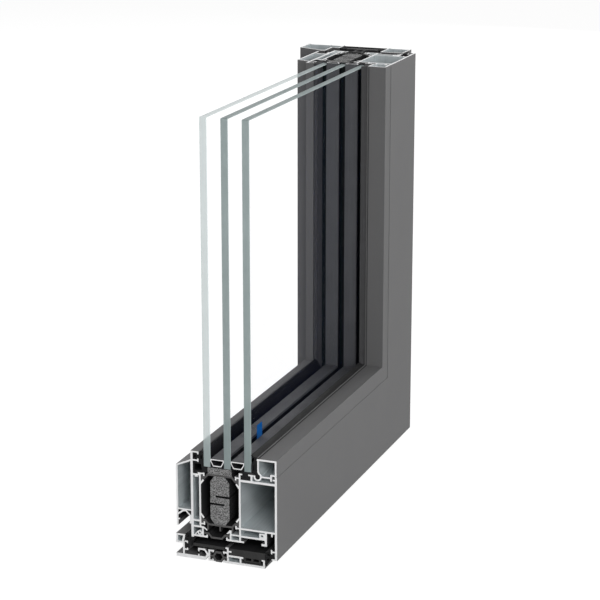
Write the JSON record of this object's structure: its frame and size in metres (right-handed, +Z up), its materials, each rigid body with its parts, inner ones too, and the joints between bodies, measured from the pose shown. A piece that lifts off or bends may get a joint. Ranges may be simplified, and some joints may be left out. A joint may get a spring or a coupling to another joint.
{
  "type": "balcony door corner section sample",
  "caption": "Cut corner of an insulated aluminium balcony door with triple glazing, closed in its frame on a flat sill.",
  "frame": {"origin": "middle of the sample's plan, on the surface that it stands on", "axes": "+X along the sill from the cut end to the wall side, +Y from the room to the outside, +Z up"},
  "size_m": [0.3594, 0.1072, 0.356],
  "materials": {
    "coated_aluminium": "extruded aluminium, matt grey powder coat outside, mill finish in the chambers, bright where it is sawn",
    "float_glass": "clear float glass with ground grey-green edges",
    "spacer_bar": "grey warm-edge spacer bar",
    "black_rubber": "matt black gasket rubber and sealant",
    "isolator_plastic": "dark grey glass-filled plastic, sawn at the ends",
    "grey_foam": "speckled grey closed-cell foam"
  },
  "bodies": {
    "root": {"glass_inner": "float_glass", "glass_middle": "float_glass", "glass_outer": "float_glass", "jamb_back_isolator": "isolator_plastic", "jamb_centre_gasket": "black_rubber", "jamb_front_isolator": "isolator_plastic", "jamb_inner_shell": "coated_aluminium", "jamb_outer_shell": "coated_aluminium", "jamb_stop_gasket": "black_rubber", "rail_bead": "coated_aluminium", "rail_foam_core": "grey_foam", "rail_foam_tape": "grey_foam", "rail_inner_gasket": "black_rubber", "rail_inner_seal": "black_rubber", "rail_inner_shell": "coated_aluminium", "rail_inner_spacer": "spacer_bar", "rail_lower_isolator": "isolator_plastic", "rail_outer_gasket": "black_rubber", "rail_outer_seal": "black_rubber", "rail_outer_shell": "coated_aluminium", "rail_outer_spacer": "spacer_bar", "rail_setting_strip": "black_rubber", "rail_sole_isolator": "isolator_plastic", "rail_stop_gasket": "black_rubber", "rail_upper_isolator": "isolator_plastic", "sill_cover_block": "isolator_plastic", "sill_cover_plate": "isolator_plastic", "sill_insulator": "isolator_plastic", "sill_nose": "coated_aluminium", "sill_stop_gasket": "black_rubber", "sill_threshold": "coated_aluminium", "stile_bead": "coated_aluminium", "stile_foam_core": "grey_foam", "stile_foam_tape": "grey_foam", "stile_inner_gasket": "black_rubber", "stile_inner_seal": "black_rubber", "stile_inner_shell": "coated_aluminium", "stile_inner_spacer": "spacer_bar", "stile_lower_isolator": "isolator_plastic", "stile_outer_gasket": "black_rubber", "stile_outer_seal": "black_rubber", "stile_outer_shell": "coated_aluminium", "stile_outer_spacer": "spacer_bar", "stile_setting_strip": "black_rubber", "stile_sole_isolator": "isolator_plastic", "stile_stop_gasket": "black_rubber", "stile_upper_isolator": "isolator_plastic"}
  },
  "joints": []
}
